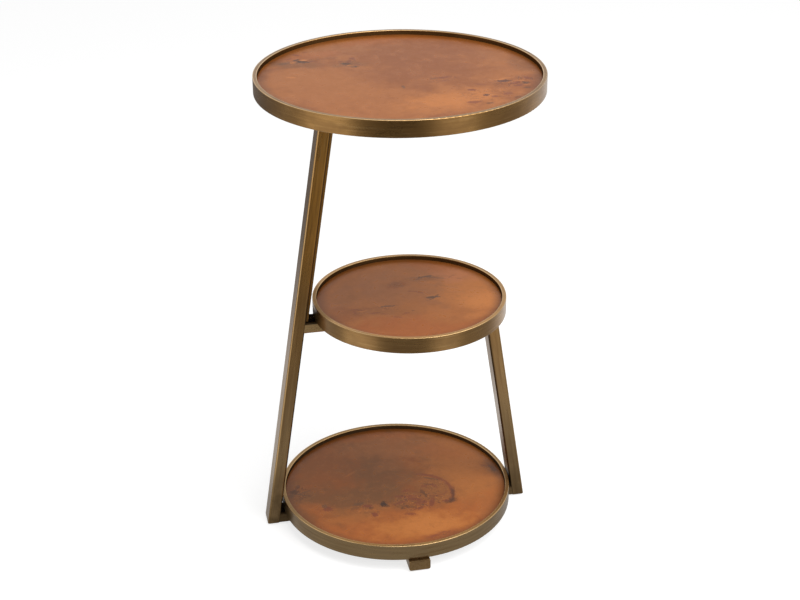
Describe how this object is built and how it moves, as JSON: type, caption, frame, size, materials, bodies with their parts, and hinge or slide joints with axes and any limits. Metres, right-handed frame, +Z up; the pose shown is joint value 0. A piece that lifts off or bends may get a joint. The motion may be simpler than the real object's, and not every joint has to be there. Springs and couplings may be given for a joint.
{
  "type": "tiered side table",
  "caption": "Side table with round rimmed tray tops at staggered heights on a leaning flat-tube frame, burl veneer faces and aged brass finish.",
  "frame": {"origin": "on the floor, under the middle of the table's plan outline", "axes": "+X along the frame from the tall leg to the short leg, +Y to the back, +Z up"},
  "size_m": [0.4188, 0.406, 0.7075],
  "materials": {
    "frame_metal": "aged brass finish on steel tube, brushed satin, darker in the corners and worn brighter along the edges",
    "rim_metal": "aged brass finish on rolled steel flat bar, brushed along the hoop",
    "tray_floor_metal": "dark bronze lacquer on sheet steel, satin",
    "board": "raw fibreboard, hidden in the tray",
    "top_veneer": "burl veneer, stained orange brown, satin lacquer",
    "middle_veneer": "burl veneer, stained orange brown, satin lacquer",
    "bottom_veneer": "burl veneer, stained orange brown, satin lacquer",
    "insert_metal": "plain turned brass",
    "bolt_metal": "black oxide, satin",
    "glide": "dark nylon, matt"
  },
  "bodies": {
    "root": {"tall_leg": "frame_metal", "short_leg": "frame_metal", "tall_leg_foot_plate": "frame_metal", "short_leg_foot_plate": "frame_metal", "base_crossbar": "frame_metal", "middle_crossbar": "frame_metal", "middle_crossbar_plate": "frame_metal", "top_arm": "frame_metal", "top_arm_outer_plate": "frame_metal", "top_arm_inner_plate": "frame_metal", "front_foot": "frame_metal", "front_foot_plate": "frame_metal", "rear_foot": "frame_metal", "rear_foot_plate": "frame_metal", "leg_stiffener": "frame_metal", "top_rim": "rim_metal", "middle_rim": "rim_metal", "bottom_rim": "rim_metal", "top_tray_floor": "tray_floor_metal", "middle_tray_floor": "tray_floor_metal", "bottom_tray_floor": "tray_floor_metal", "top_board": "board", "middle_board": "board", "bottom_board": "board", "top_veneer": "top_veneer", "middle_veneer": "middle_veneer", "bottom_veneer": "bottom_veneer", "top_inserts": "insert_metal", "middle_inserts": "insert_metal", "bottom_inserts": "insert_metal", "top_bolts": "bolt_metal", "middle_bolts": "bolt_metal", "bottom_bolts": "bolt_metal", "floor_glides": "glide"}
  },
  "joints": []
}
